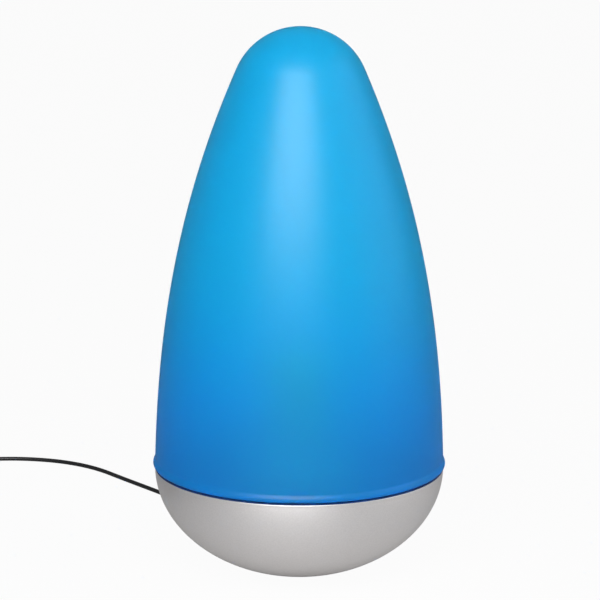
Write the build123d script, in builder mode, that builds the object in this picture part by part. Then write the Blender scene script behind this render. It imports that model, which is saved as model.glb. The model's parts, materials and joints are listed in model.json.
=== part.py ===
from build123d import *
import math
import os

# Cool mist humidifier: a closed frosted dome on a silver bowl, with the mist works inside.
# Millimetres, +Z up. The origin is on the table under the middle of the bowl, the front faces -Y,
# and the power lead leaves at the back and lies on the table towards -X.

os.makedirs("parts", exist_ok=True)

# Fits
slip_fit = 0.1  # between pieces that are pushed together
running_fit = 0.05  # between a shaft and its bearing
seat_gap = 0.2  # under a piece that only stands in place by its weight
screw_fit = 0.05  # between a screw and the wall of its hole

# Bowl
rim_height = 68.5
bowl_radius = 95.0
bowl_curve_drop = 5.3  # from the flat underside down to where the outside's ellipse would end
bowl_wall = 1.6
bowl_underside = 2.2
bowl_lip_width = 9.0
bowl_edge_round = 1.1
bowl_hole_radius = 23.0
vent_radius = 1.75
vent_heights = (17.0, 23.0, 29.0)
vent_azimuths = (66, 72, 78, 84, 90, 96, 102)

# Dome
mist_slot = 1.5  # open ring between the bowl's rim and the dome
dome_height = 287.0
dome_wall = 3.0
dome_draft = 1.5  # degrees at the rim
dome_nose_radius = 44.8
dome_nose_sweep = 66.3  # degrees from the top
dome_shoulder_pull = 0.40  # curve handles, in shares of the chord from nose to rim
dome_skirt_pull = 0.286
bead_height = 7.0
bead_proud = 1.2
bead_root = 0.5  # how far the bead's middle lies inside the wall's face

# Foot, base plate and ballast
plate_thickness = 1.4
plate_flange_width = 4.5
plate_core_rise = 1.8
foot_groove_depth = 0.6
foot_ring_width = 6.0
foot_ring_inset = 1.0
ballast_bore_gap = 1.0
ballast_wall_gap = 1.15  # to the bowl's wall, at the floor
ballast_screw_gap = 2.2

# Electronics tray
tray_screw_gap = 1.5  # from the tray screws' heads to the bowl's wall
tray_rim = 3.0  # from the ring of tray screws to the tray's edge
tray_thickness = 2.0
pillar_radius = 4.0
pillar_ring = 15.0
board_post_radius = 2.5
board_post_height = 4.0

# Screws, by size: shank radius, head radius and head height
screw_shank = 1.5
screw_head = 2.8
screw_head_height = 1.8
small_shank = 1.0
small_head = 1.9
small_head_height = 1.3
base_screw_length = 7.0
tray_screw_length = 10.0
board_screw_length = 5.0
retainer_screw_length = 6.0
head_recess = 0.1

# Water basin
basin_floor = 2.5
basin_wall = 2.2
basin_foot_radius = 70.0
basin_corner = 9.0
basin_flange = 5.8
tab_count = 6
tab_width = 12.4
tab_margin = 0.5  # from a tab's end to the bowl's edge
rib_height = 5.0
rib_gap = 0.7  # between a locating rib and the dome's inside
boss_radius = 4.0
boss_ring = 47.0
boss_azimuths = (0, 180, 270)

# Mist chimney and its cap
skirt_radius = 38.0
skirt_height = 29.0
shoulder_rise = 10.0
column_foot_radius = 22.0
column_top_radius = 19.5
column_rise = 55.5  # from the bowl's rim to the top of the column
chimney_wall = 1.8
shoulder_round = 9.0
column_round = 12.0
notch_count = 6
notch_width = 8.0
notch_height = 6.0
locating_ring_height = 4.0
locating_ring_width = 2.0
locating_gap = 0.6
cap_flange = 1.2
cap_spigot = 7.0
cap_gap = 5.0
cap_rise = 17.0
cap_overhang = 0.7
cap_leg_count = 4
cap_leg_width = 5.0

# Air standpipe, fan and duct
air_place = (0.0, 22.0)
standpipe_radius = 10.0
standpipe_wall = 1.8
standpipe_height = 21.5
spigot_depth = 3.0
hood_gap = 3.0
hood_thickness = 1.4
hood_overhang = 2.0
hood_leg_count = 3
hood_leg_width = 2.6
hood_leg_depth = 6.0
fan_side = 40.0
fan_corner = 3.0
fan_thickness = 10.0
fan_floor_gap = 3.2
fan_bore = 18.5
fan_hole_pitch = 32.0
fan_screw_grip = 5.0
strut_thickness = 1.4
strut_width = 2.4
strut_count = 4
bearing_radius = 3.0
bearing_height = 5.0
hub_radius = 9.0
hub_wall = 1.2
hub_gap = 0.6
shaft_radius = 0.95
blade_count = 7
blade_tip_gap = 0.9
blade_chord = 8.6
blade_thickness = 1.0
blade_pitch = 35.0
blade_root = 0.8
duct_rise = 7.0
duct_wall = 1.6
duct_flange = 1.6
duct_boss_radius = 3.0

# Transducer
transducer_place = (0.0, -19.0)
jet_radius = 8.5
transducer_boss_radius = 17.0
transducer_boss_depth = 5.5
gasket_radius = 12.4
gasket_lip = 1.4
piezo_radius = 10.0
piezo_thickness = 1.2
retainer_thickness = 1.5
retainer_bore = 7.0
retainer_margin = 0.6
retainer_screw_ring = 14.75
wire_radius = 0.9
wire_lift = 0.1  # of the wire off the driver board

# Water level float
float_place = (48.0, -21.0)
float_post_radius = 3.0
float_post_height = 21.5
float_radius = 9.0
float_height = 9.0
float_gap = 0.35
float_stand = 0.5
magnet_width = 2.0
magnet_height = 3.0
reed_radius = 1.5
reed_length = 13.0
float_clip_radius = 5.0
float_clip_height = 2.0
float_clip_grip = 3.0
float_clip_pin = 1.4

# Driver board
board_centre = (31.75, 0.0)
board_width = 19.5
board_length = 60.0
board_thickness = 1.6
board_hole_inset = 3.5
sink_size = (12.0, 16.0)
sink_base = 2.0
sink_height = 10.0
sink_fins = 5
sink_fin_thickness = 1.0
sink_offset = (1.0, 12.0)
coil_core_radius = 5.0
coil_core_height = 8.5
coil_core_offset = (0.0, -3.0)
capacitor_radius = 4.0
capacitor_height = 9.5
capacitor_offsets = ((-4.4, -14.0), (4.6, -14.0))
connector_size = (6.6, 6.5, 7.0)
connector_offset = (0.0, 26.0)

# Power lead
cord_diameter = 3.0
lead_azimuth = 121.0
lead_height = 25.0
relief_flange_radius = 6.5
relief_flange = 1.8
relief_neck_radius = 4.0
relief_sleeve = 14.0
relief_tip_radius = 2.5
relief_catch_radius = 5.0
relief_catch = 1.6
relief_wall_gap = 0.4
lay_height = 1.6  # middle of a cord that lies on the table

# In-line switch
switch_place = (-258.0, 183.0)
switch_length = 54.0
switch_width = 22.0
switch_height = 12.0
switch_axis_height = 5.0
switch_wall = 2.0
switch_corner = 6.0
switch_edge = 1.5
switch_post_radius = 2.6
switch_post_place = (6.0, 20.0)
rocker_length = 18.8
rocker_width = 9.4
rocker_gap = 1.2
rocker_side_gap = 0.3
rocker_tilt = 8.0
rocker_end_rise = 4.4
rocker_dip = 1.0
rocker_end_depth = 2.4
rocker_belly = 10.0
rocker_drop = 1.6
pivot_height = 9.2
pivot_radius = 1.2
pivot_length = 12.6
lug_width = 1.6
lug_length = 6.0
lug_depth = 3.6

# Coil of stored lead and its tie
coil_outer_radius = 26.0
coil_turns = 8
coil_gap = 0.5
coil_lead = 34.0  # straight reach from the switch to the coil, and from the coil to the adapter
tie_thickness = 0.8
tie_width = 8.0
tie_gap = 0.2
tie_corner = 1.6

# Wall adapter
adapter_width = 40.0
adapter_length = 66.0
adapter_height = 26.0
adapter_wall = 2.2
adapter_corner = 5.0
adapter_edge = 2.0
adapter_sleeve = 14.0
adapter_sleeve_root = 3.6
adapter_sleeve_tip = 2.4
pin_radius = 2.0
pin_length = 19.0
pin_spacing = 19.0
pin_root = 8.0
pin_collar_radius = 3.6
pin_offset = -10.0
transformer_size = (24.0, 26.0, 14.0)
adapter_board_size = (32.0, 54.0, 1.6)
adapter_board_lift = 3.0

# Heights and radii that follow
bowl_floor_top = bowl_underside + bowl_wall
bowl_curve_depth = rim_height - bowl_underside + bowl_curve_drop
inner_curve_radius = bowl_radius - bowl_wall
inner_curve_depth = bowl_curve_depth - bowl_wall
lip_radius = bowl_radius - bowl_lip_width
dome_rim_radius = bowl_radius
dome_seat = rim_height + mist_slot
dome_top = dome_seat + dome_height
tab_top = dome_seat - seat_gap
plate_low = bowl_underside - plate_thickness
plate_radius = bowl_hole_radius + plate_flange_width
plate_top = bowl_underside + plate_core_rise
core_radius = bowl_hole_radius - slip_fit
foot_top = plate_low + foot_groove_depth
foot_radius = plate_radius - foot_ring_inset
tray_radius = boss_ring + tray_rim
screw_reach = (boss_ring + screw_head + tray_screw_gap) / inner_curve_radius
tray_low = rim_height - inner_curve_depth * math.sqrt(1 - screw_reach**2) + screw_head_height
tray_top = tray_low + tray_thickness
floor_drop = (rim_height - bowl_floor_top) / inner_curve_depth
ballast_low_radius = inner_curve_radius * math.sqrt(1 - floor_drop**2) - ballast_wall_gap
ballast_top_radius = boss_ring - screw_head - ballast_screw_gap
basin_mouth_radius = lip_radius - slip_fit
dome_bore = dome_rim_radius - dome_wall
column_top = rim_height + column_rise
cap_low = column_top + cap_flange + cap_gap
fan_low = tray_top + fan_floor_gap
fan_top = fan_low + fan_thickness
basin_under = fan_top + duct_rise
basin_inside = basin_under + basin_floor
chimney_low = basin_inside + seat_gap
board_low = tray_top + board_post_height
board_top = board_low + board_thickness
cord_radius = cord_diameter / 2

STAND = (Align.CENTER, Align.CENTER, Align.MIN)


def pillar(radius, low, high, at=(0.0, 0.0), mode=Mode.ADD):
    """A round pillar, disc or bore between two heights."""
    with Locations((at[0], at[1], low)):
        Cylinder(radius, high - low, align=STAND, mode=mode)


def block(width, length, low, high, at=(0.0, 0.0), mode=Mode.ADD):
    """A square-edged block or cut between two heights."""
    with Locations((at[0], at[1], low)):
        Box(width, length, high - low, align=STAND, mode=mode)


def around(radius, azimuth):
    """A place on a ring about the middle of the bowl."""
    turn = math.radians(azimuth)
    return (radius * math.cos(turn), radius * math.sin(turn))


def beside(place, offset):
    """A place at an offset from another one."""
    return (place[0] + offset[0], place[1] + offset[1])


def bowl_reach(height):
    """The bowl's outside radius at a height."""
    drop = (rim_height - height) / bowl_curve_depth
    return bowl_radius * math.sqrt(1 - drop**2)


def on_bowl(azimuth, height):
    """A plane on the bowl's outside that faces straight out of the wall."""
    reach = bowl_reach(height)
    rise = (rim_height - height) / bowl_curve_depth**2
    lean = math.atan2(rise, reach / bowl_radius**2)
    east, north = around(1.0, azimuth)
    out = (east * math.cos(lean), north * math.cos(lean), -math.sin(lean))
    return Plane(
        origin=(reach * east, reach * north, height), x_dir=(-north, east, 0), z_dir=out
    )


def screw(places, low, length, shank, head, head_height, head_up=False):
    """Screws that stand with their head at low, with the shank above it or, head_up, below it."""
    for place in places:
        if head_up:
            pillar(head, low, low + head_height, place)
            pillar(shank, low - length, low, place)
        else:
            pillar(head, low - head_height, low, place)
            pillar(shank, low, low + length, place)


def keep(builder, name):
    """Label a finished piece and write it."""
    builder.part.label = name
    export_step(builder.part, f"parts/{name}.step")


# Foot ring: the rubber ring that the humidifier stands on, in a groove under the base plate.
with BuildPart() as foot_ring:
    pillar(foot_radius, 0.0, foot_top)
    pillar(foot_radius - foot_ring_width, 0.0, foot_top, mode=Mode.SUBTRACT)
keep(foot_ring, "foot_ring")

# Base plate: closes the hole under the bowl and clamps the bowl to the tray with three screws.
pillar_places = [around(pillar_ring, azimuth) for azimuth in (90, 210, 330)]
head_pocket = screw_head_height + head_recess
with BuildPart() as base_plate:
    pillar(plate_radius, plate_low, bowl_underside)
    pillar(core_radius, bowl_underside, plate_top)
    pillar(foot_radius + slip_fit, plate_low, foot_top, mode=Mode.SUBTRACT)
    pillar(foot_radius - foot_ring_width - slip_fit, plate_low, foot_top)
    for place in pillar_places:
        pillar(screw_head + slip_fit, plate_low, plate_low + head_pocket, place, Mode.SUBTRACT)
        pillar(screw_shank + slip_fit, plate_low, plate_top, place, Mode.SUBTRACT)
keep(base_plate, "base_plate")

with BuildPart() as base_screws:
    screw(
        pillar_places,
        plate_low + head_pocket,
        base_screw_length,
        screw_shank,
        screw_head,
        screw_head_height,
    )
keep(base_screws, "base_screws")

# Base bowl: spun metal, half an ellipse in section, with its rim turned in to a flat lip.
# The rear has the air holes and the hole for the power lead.
outer_start = math.degrees(math.asin((rim_height - bowl_underside) / bowl_curve_depth))
inner_start = math.degrees(math.asin((rim_height - bowl_floor_top) / inner_curve_depth))
inner_end = math.degrees(math.asin(bowl_wall / inner_curve_depth))
relief_plane = on_bowl(lead_azimuth, lead_height)
with BuildPart() as base_bowl:
    with BuildSketch(Plane.XZ):
        with BuildLine():
            outside = EllipticalCenterArc(
                (0, rim_height), bowl_radius, bowl_curve_depth, -outer_start, arc_size=outer_start
            )
            inside = EllipticalCenterArc(
                (0, rim_height),
                inner_curve_radius,
                inner_curve_depth,
                -inner_start,
                arc_size=inner_start - inner_end,
            )
            Polyline(
                outside @ 1, (lip_radius, rim_height), (lip_radius, rim_height - bowl_wall), inside @ 1
            )
            Polyline(
                inside @ 0,
                (bowl_hole_radius, bowl_floor_top),
                (bowl_hole_radius, bowl_underside),
                outside @ 0,
            )
        make_face()
    revolve(axis=Axis.Z)
    fillet(base_bowl.edges().group_by(Axis.Z)[-1].sort_by(SortBy.RADIUS)[-1], bowl_edge_round)
    for vent_height in vent_heights:
        for azimuth in vent_azimuths:
            with BuildSketch(on_bowl(azimuth, vent_height)):
                Circle(vent_radius)
    with BuildSketch(relief_plane):
        Circle(relief_neck_radius + slip_fit)
    extrude(amount=3 * bowl_wall, both=True, mode=Mode.SUBTRACT)
keep(base_bowl, "base_bowl")

# Ballast ring: the iron ring on the bowl's floor that keeps the tall dome steady.
with BuildPart() as ballast_ring:
    with BuildSketch(Plane.XZ):
        with BuildLine():
            Polyline(
                (bowl_hole_radius + ballast_bore_gap, bowl_floor_top),
                (ballast_low_radius, bowl_floor_top),
                (ballast_top_radius, tray_low),
                (bowl_hole_radius + ballast_bore_gap, tray_low),
                close=True,
            )
        make_face()
    revolve(axis=Axis.Z)
keep(ballast_ring, "ballast_ring")

# Electronics tray: the moulded disc on the ballast, with pillars down to the base plate and posts
# up to the driver board.
boss_places = [around(boss_ring, azimuth) for azimuth in boss_azimuths]
hole_reach = (board_width / 2 - board_hole_inset, board_length / 2 - board_hole_inset)
board_holes = [
    beside(board_centre, (across * hole_reach[0], along * hole_reach[1]))
    for across in (-1, 1)
    for along in (-1, 1)
]
with BuildPart() as electronics_tray:
    pillar(tray_radius, tray_low, tray_top)
    for place in pillar_places:
        pillar(pillar_radius, plate_top, tray_low, place)
    for place in board_holes:
        pillar(board_post_radius, tray_top, board_low, place)
    for place in pillar_places:
        pillar(screw_shank + screw_fit, plate_top, tray_top, place, Mode.SUBTRACT)
    for place in boss_places:
        pillar(screw_shank + slip_fit, tray_low, tray_top, place, Mode.SUBTRACT)
    for place in board_holes:
        pillar(small_shank + screw_fit, tray_low, board_low, place, Mode.SUBTRACT)
keep(electronics_tray, "electronics_tray")

with BuildPart() as tray_screws:
    screw(boss_places, tray_low, tray_screw_length, screw_shank, screw_head, screw_head_height)
keep(tray_screws, "tray_screws")

# Water basin: hangs by its flange on the bowl's lip. Six tabs hold the dome up off the rim, which
# leaves the ring slot that the mist leaves by, and their ribs keep the dome in the middle.
standpipe_bore = standpipe_radius - standpipe_wall
standpipe_top = basin_inside + standpipe_height
ring_radius = skirt_radius - chimney_wall - locating_gap
float_post_top = basin_inside + float_post_height
transducer_screws = [
    beside(transducer_place, around(retainer_screw_ring, azimuth)) for azimuth in (30, 150, 270)
]
tab_reach = bowl_radius - bowl_edge_round - tab_margin
flange_radius = basin_mouth_radius - basin_wall + basin_flange
with BuildPart() as water_basin:
    with BuildSketch(Plane.XZ):
        with BuildLine():
            FilletPolyline(
                (0, basin_under), (basin_foot_radius, basin_under), (basin_mouth_radius, rim_height),
                radius=basin_corner,
            )
            Polyline(
                (basin_mouth_radius, rim_height),
                (flange_radius, rim_height),
                (flange_radius, tab_top),
                (basin_mouth_radius - basin_wall, tab_top),
            )
            FilletPolyline(
                (basin_mouth_radius - basin_wall, tab_top),
                (basin_foot_radius - basin_wall, basin_inside),
                (0, basin_inside),
                radius=basin_corner - basin_wall,
            )
            Line((0, basin_inside), (0, basin_under))
        make_face()
    revolve(axis=Axis.Z)
    with PolarLocations(0, tab_count, start_angle=-90):
        with Locations(((flange_radius + tab_reach) / 2 - basin_wall / 2, 0, rim_height)):
            Box(tab_reach - flange_radius + basin_wall, tab_width, tab_top - rim_height, align=STAND)
        with Locations(((flange_radius + dome_bore - rib_gap) / 2 - basin_wall / 2, 0, tab_top)):
            Box(dome_bore - rib_gap - flange_radius + basin_wall, tab_width, rib_height, align=STAND)
    with BuildSketch(Plane.XY.offset(basin_inside)):
        Circle(ring_radius)
        Circle(ring_radius - locating_ring_width, mode=Mode.SUBTRACT)
        with PolarLocations(ring_radius, notch_count):
            Rectangle(4 * locating_ring_width, notch_width, mode=Mode.SUBTRACT)
    extrude(amount=locating_ring_height)
    pillar(standpipe_radius, basin_under - spigot_depth, standpipe_top, air_place)
    pillar(float_post_radius, basin_inside, float_post_top, float_place)
    pillar(
        transducer_boss_radius, basin_under - transducer_boss_depth, basin_under, transducer_place
    )
    for place in boss_places:
        pillar(boss_radius, tray_top, basin_under, place)
    pillar(standpipe_bore, basin_under - spigot_depth, standpipe_top, air_place, Mode.SUBTRACT)
    pillar(jet_radius, basin_under, basin_inside, transducer_place, Mode.SUBTRACT)
    pillar(
        gasket_radius + slip_fit,
        basin_under - transducer_boss_depth,
        basin_under,
        transducer_place,
        Mode.SUBTRACT,
    )
    for place in transducer_screws:
        pillar(
            small_shank + screw_fit,
            basin_under - transducer_boss_depth,
            basin_under - transducer_boss_depth + retainer_screw_length,
            place,
            Mode.SUBTRACT,
        )
    for place in boss_places:
        pillar(
            screw_shank + screw_fit, tray_top, tray_low + tray_screw_length, place, Mode.SUBTRACT
        )
    pillar(
        reed_radius + slip_fit, basin_under, basin_under + reed_length, float_place, Mode.SUBTRACT
    )
    pillar(
        float_clip_pin + slip_fit,
        float_post_top - float_clip_grip,
        float_post_top,
        float_place,
        Mode.SUBTRACT,
    )
keep(water_basin, "water_basin")

def bell(inset):
    """The chimney's outline from its skirt to its top, drawn in by a wall's thickness."""
    shoulder = chimney_low + skirt_height
    return (
        (skirt_radius - inset, chimney_low),
        (skirt_radius - inset, shoulder - inset),
        (column_foot_radius - inset, shoulder + shoulder_rise - inset),
        (column_top_radius - inset, column_top),
    )


# Mist chimney: the bell over the transducer and the air pipe, which narrows to an upright column.
with BuildPart() as mist_chimney:
    with BuildSketch(Plane.XZ):
        with BuildLine():
            FilletPolyline(*bell(0.0), radius=(shoulder_round, column_round))
            FilletPolyline(
                *bell(chimney_wall), radius=(shoulder_round - chimney_wall, column_round + chimney_wall)
            )
            Line(bell(0.0)[0], bell(chimney_wall)[0])
            Line(bell(0.0)[-1], bell(chimney_wall)[-1])
        make_face()
    revolve(axis=Axis.Z)
    with PolarLocations(0, notch_count):
        with Locations((skirt_radius - chimney_wall / 2, 0, chimney_low)):
            Box(
                4 * chimney_wall, notch_width, notch_height, align=STAND, mode=Mode.SUBTRACT
            )
keep(mist_chimney, "mist_chimney")

# Splash cap: the rounded cap on the column, on legs that leave a ring for the mist to pass.
column_bore = column_top_radius - chimney_wall
cap_radius = column_top_radius + cap_overhang
spigot_radius = column_bore - slip_fit
leg_middle = spigot_radius - chimney_wall / 2
cap_ball = (cap_radius**2 + cap_rise**2) / (2 * cap_rise)
cap_middle = cap_low + cap_rise - cap_ball
with BuildPart() as splash_cap:
    with BuildSketch(Plane.XZ):
        with BuildLine():
            for ball in (cap_ball, cap_ball - chimney_wall):
                start = math.degrees(math.asin((cap_low - cap_middle) / ball))
                CenterArc((0, cap_middle), ball, start, 90 - start)
            under = math.sqrt((cap_ball - chimney_wall) ** 2 - (cap_low - cap_middle) ** 2)
            Line((under, cap_low), (cap_radius, cap_low))
            Line((0, cap_middle + cap_ball - chimney_wall), (0, cap_middle + cap_ball))
        make_face()
    revolve(axis=Axis.Z)
    pillar(column_top_radius, column_top, column_top + cap_flange)
    pillar(spigot_radius, column_top - cap_spigot, column_top)
    pillar(
        spigot_radius - chimney_wall,
        column_top - cap_spigot,
        column_top + cap_flange,
        mode=Mode.SUBTRACT,
    )
    with PolarLocations(leg_middle, cap_leg_count, start_angle=45):
        with Locations((0, 0, column_top)):
            Box(chimney_wall, cap_leg_width, cap_flange + cap_gap + cap_rise / 3, align=STAND)
keep(splash_cap, "splash_cap")

# Air hood: the small roof on legs over the standpipe, which keeps drops out of the fan.
hood_radius = standpipe_radius + hood_overhang
hood_leg_radius = standpipe_bore - slip_fit
with BuildPart() as air_hood:
    pillar(
        hood_radius, standpipe_top + hood_gap, standpipe_top + hood_gap + hood_thickness, air_place
    )
    pillar(
        hood_leg_radius, standpipe_top - hood_leg_depth, standpipe_top - hood_leg_depth / 2, air_place
    )
    pillar(
        hood_leg_radius - standpipe_wall,
        standpipe_top - hood_leg_depth,
        standpipe_top - hood_leg_depth / 2,
        air_place,
        Mode.SUBTRACT,
    )
    with Locations((air_place[0], air_place[1], standpipe_top - hood_leg_depth)):
        with PolarLocations(hood_leg_radius - standpipe_wall / 2, hood_leg_count):
            Box(standpipe_wall / 2, hood_leg_width, hood_leg_depth + hood_gap, align=STAND)
keep(air_hood, "air_hood")

# Piezo disc with its gasket and retainer, under the jet hole in the basin's floor.
gasket_low = basin_under - 2 * gasket_lip - piezo_thickness
piezo_low = gasket_low + gasket_lip
retainer_top = basin_under - transducer_boss_depth
with BuildPart() as piezo_disc:
    pillar(piezo_radius, piezo_low, piezo_low + piezo_thickness, transducer_place)
keep(piezo_disc, "piezo_disc")

with BuildPart() as transducer_gasket:
    pillar(gasket_radius, gasket_low, basin_under, transducer_place)
    pillar(jet_radius, gasket_low, basin_under, transducer_place, Mode.SUBTRACT)
    pillar(piezo_radius, piezo_low, piezo_low + piezo_thickness, transducer_place, Mode.SUBTRACT)
keep(transducer_gasket, "transducer_gasket")

with BuildPart() as transducer_retainer:
    pillar(
        transducer_boss_radius - retainer_margin,
        retainer_top - retainer_thickness,
        retainer_top,
        transducer_place,
    )
    pillar(gasket_radius - slip_fit, retainer_top, gasket_low, transducer_place)
    pillar(
        retainer_bore, retainer_top - retainer_thickness, gasket_low, transducer_place, Mode.SUBTRACT
    )
    for place in transducer_screws:
        pillar(
            small_shank + slip_fit,
            retainer_top - retainer_thickness,
            retainer_top,
            place,
            Mode.SUBTRACT,
        )
keep(transducer_retainer, "transducer_retainer")

with BuildPart() as retainer_screws:
    screw(
        transducer_screws,
        retainer_top - retainer_thickness,
        retainer_screw_length,
        small_shank,
        small_head,
        small_head_height,
    )
keep(retainer_screws, "retainer_screws")

# Level float: a ring on the post in the basin, with a ring magnet that works the reed switch.
float_bore = float_post_radius + float_gap
float_low = basin_inside + float_stand
magnet_bore = float_bore + magnet_width
with BuildPart() as level_float:
    pillar(float_radius, float_low, float_low + float_height, float_place)
    pillar(float_bore, float_low, float_low + float_height, float_place, Mode.SUBTRACT)
    pillar(magnet_bore, float_low, float_low + magnet_height, float_place, Mode.SUBTRACT)
keep(level_float, "level_float")

with BuildPart() as float_magnet:
    pillar(magnet_bore - slip_fit / 2, float_low, float_low + magnet_height, float_place)
    pillar(float_bore, float_low, float_low + magnet_height, float_place, Mode.SUBTRACT)
keep(float_magnet, "float_magnet")

with BuildPart() as float_clip:
    pillar(float_clip_radius, float_post_top, float_post_top + float_clip_height, float_place)
    pillar(float_clip_pin, float_post_top - float_clip_grip, float_post_top, float_place)
keep(float_clip, "float_clip")

with BuildPart() as reed_switch:
    pillar(reed_radius, basin_under, basin_under + reed_length, float_place)
keep(reed_switch, "reed_switch")

# Fan: a square frame with a motor base on struts, and a rotor that runs in its bearing.
fan_corners = [
    beside(air_place, (across * fan_hole_pitch / 2, along * fan_hole_pitch / 2))
    for across in (-1, 1)
    for along in (-1, 1)
]
strut_top = fan_low + strut_thickness
bearing_bore = shaft_radius + running_fit
with BuildPart() as fan_frame:
    with BuildSketch(Plane.XY.offset(fan_low)):
        with Locations(air_place):
            RectangleRounded(fan_side, fan_side, fan_corner)
            Circle(fan_bore, mode=Mode.SUBTRACT)
        with Locations(*fan_corners):
            Circle(screw_shank + slip_fit, mode=Mode.SUBTRACT)
    extrude(amount=fan_thickness)
    with Locations((air_place[0], air_place[1], fan_low)):
        with PolarLocations(0, strut_count // 2, start_angle=45, angular_range=180):
            Box(2 * fan_bore + strut_width, strut_width, strut_thickness, align=STAND)
    pillar(hub_radius, fan_low, strut_top, air_place)
    pillar(bearing_radius, strut_top, strut_top + bearing_height, air_place)
    pillar(bearing_bore, strut_top, strut_top + bearing_height, air_place, Mode.SUBTRACT)
keep(fan_frame, "fan_frame")

hub_low = strut_top + hub_gap
hub_top = fan_top - hub_gap
blade_tip = fan_bore - blade_tip_gap
blade_start = hub_radius - blade_root
blade_middle = (hub_low + hub_top) / 2
with BuildPart() as fan_rotor:
    pillar(hub_radius, hub_low, hub_top, air_place)
    pillar(hub_radius - hub_wall, hub_low, hub_top - hub_wall, air_place, Mode.SUBTRACT)
    pillar(shaft_radius, strut_top + seat_gap, hub_top - hub_wall, air_place)
    with Locations((air_place[0], air_place[1], blade_middle)):
        with PolarLocations((blade_start + blade_tip) / 2, blade_count):
            Box(
                blade_tip - blade_start, blade_chord, blade_thickness, rotation=(blade_pitch, 0, 0)
            )
keep(fan_rotor, "fan_rotor")

# Fan duct: the funnel from the fan's bore up to the spigot under the standpipe.
duct_top_bore = standpipe_radius + slip_fit
funnel_top = basin_under - spigot_depth
with BuildPart() as fan_duct:
    with BuildSketch(Plane.XY.offset(fan_top)):
        with Locations(air_place):
            RectangleRounded(fan_side, fan_side, fan_corner)
    extrude(amount=duct_flange)
    for place in fan_corners:
        pillar(duct_boss_radius, fan_top, fan_top + fan_screw_grip, place)
    with Locations((air_place[0], air_place[1], fan_top)):
        Cone(fan_bore + duct_wall / 2, duct_top_bore + duct_wall, funnel_top - fan_top, align=STAND)
    pillar(duct_top_bore + duct_wall, funnel_top, basin_under, air_place)
    with Locations((air_place[0], air_place[1], fan_top)):
        Cone(
            fan_bore - duct_wall / 2, duct_top_bore, funnel_top - fan_top,
            align=STAND, mode=Mode.SUBTRACT,
        )
    pillar(duct_top_bore, funnel_top, basin_under, air_place, Mode.SUBTRACT)
    for place in fan_corners:
        pillar(screw_shank + screw_fit, fan_top, fan_top + fan_screw_grip, place, Mode.SUBTRACT)
keep(fan_duct, "fan_duct")

with BuildPart() as fan_screws:
    screw(
        fan_corners, fan_low, fan_thickness + fan_screw_grip, screw_shank, screw_head, screw_head_height
    )
keep(fan_screws, "fan_screws")

# Driver board on its posts, with the parts that drive the piezo disc and the fan.
with BuildPart() as driver_board:
    block(board_width, board_length, board_low, board_top, board_centre)
    for place in board_holes:
        pillar(small_shank + slip_fit, board_low, board_top, place, Mode.SUBTRACT)
keep(driver_board, "driver_board")

with BuildPart() as board_screws:
    screw(
        board_holes, board_top, board_screw_length, small_shank, small_head, small_head_height,
        head_up=True,
    )
keep(board_screws, "board_screws")

sink_place = beside(board_centre, sink_offset)
fin_pitch = (sink_size[0] - sink_fin_thickness) / (sink_fins - 1)
with BuildPart() as heat_sink:
    block(*sink_size, board_top, board_top + sink_base, sink_place)
    for fin in range(sink_fins):
        step = (fin - (sink_fins - 1) / 2) * fin_pitch
        block(
            sink_fin_thickness,
            sink_size[1],
            board_top + sink_base,
            board_top + sink_height,
            beside(sink_place, (step, 0.0)),
        )
keep(heat_sink, "heat_sink")

core_place = beside(board_centre, coil_core_offset)
with BuildPart() as choke_coil:
    pillar(coil_core_radius, board_top, board_top + coil_core_height, core_place)
    fillet(choke_coil.edges().filter_by(GeomType.CIRCLE), coil_core_radius / 4)
keep(choke_coil, "choke_coil")

with BuildPart() as capacitors:
    for offset_place in capacitor_offsets:
        pillar(
            capacitor_radius,
            board_top,
            board_top + capacitor_height,
            beside(board_centre, offset_place),
        )
keep(capacitors, "capacitors")

connector_place = beside(board_centre, connector_offset)
connector_axis = board_top + connector_size[2] / 2
with BuildPart() as lead_connector:
    block(
        connector_size[0], connector_size[1], board_top, board_top + connector_size[2], connector_place
    )
keep(lead_connector, "lead_connector")

# Mist dome: the closed frosted cover, a round nose that runs smoothly into nearly upright sides,
# with a rounded bead along its rim.
nose_turn = math.radians(dome_nose_sweep)
draft = math.radians(dome_draft)


def dome_outline(inset):
    """The nose's end, the curve's control points and the rim, drawn in by a wall's thickness."""
    radius = dome_nose_radius - inset
    middle = dome_top - dome_nose_radius
    nose_end = Vector(radius * math.sin(nose_turn), middle + radius * math.cos(nose_turn))
    rim = Vector(dome_rim_radius - inset, dome_seat)
    chord = (rim - nose_end).length
    shoulder = Vector(math.cos(nose_turn), -math.sin(nose_turn)) * (dome_shoulder_pull * chord)
    skirt = Vector(math.sin(draft), -math.cos(draft)) * (dome_skirt_pull * chord)
    return radius, middle, [nose_end, nose_end + shoulder, rim - skirt, rim]


with BuildPart() as mist_dome:
    with BuildSketch(Plane.XZ):
        with BuildLine():
            for inset in (0.0, dome_wall):
                radius, middle, curve = dome_outline(inset)
                CenterArc((0, middle), radius, 90, -dome_nose_sweep)
                Bezier(*curve)
            Line((0, dome_top), (0, dome_top - dome_wall))
            Line((dome_rim_radius, dome_seat), (dome_bore, dome_seat))
        make_face()
        with Locations((dome_rim_radius - bead_root, dome_seat + bead_height / 2)):
            Ellipse(bead_root + bead_proud, bead_height / 2)
    revolve(axis=Axis.Z)
keep(mist_dome, "mist_dome")

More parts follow.
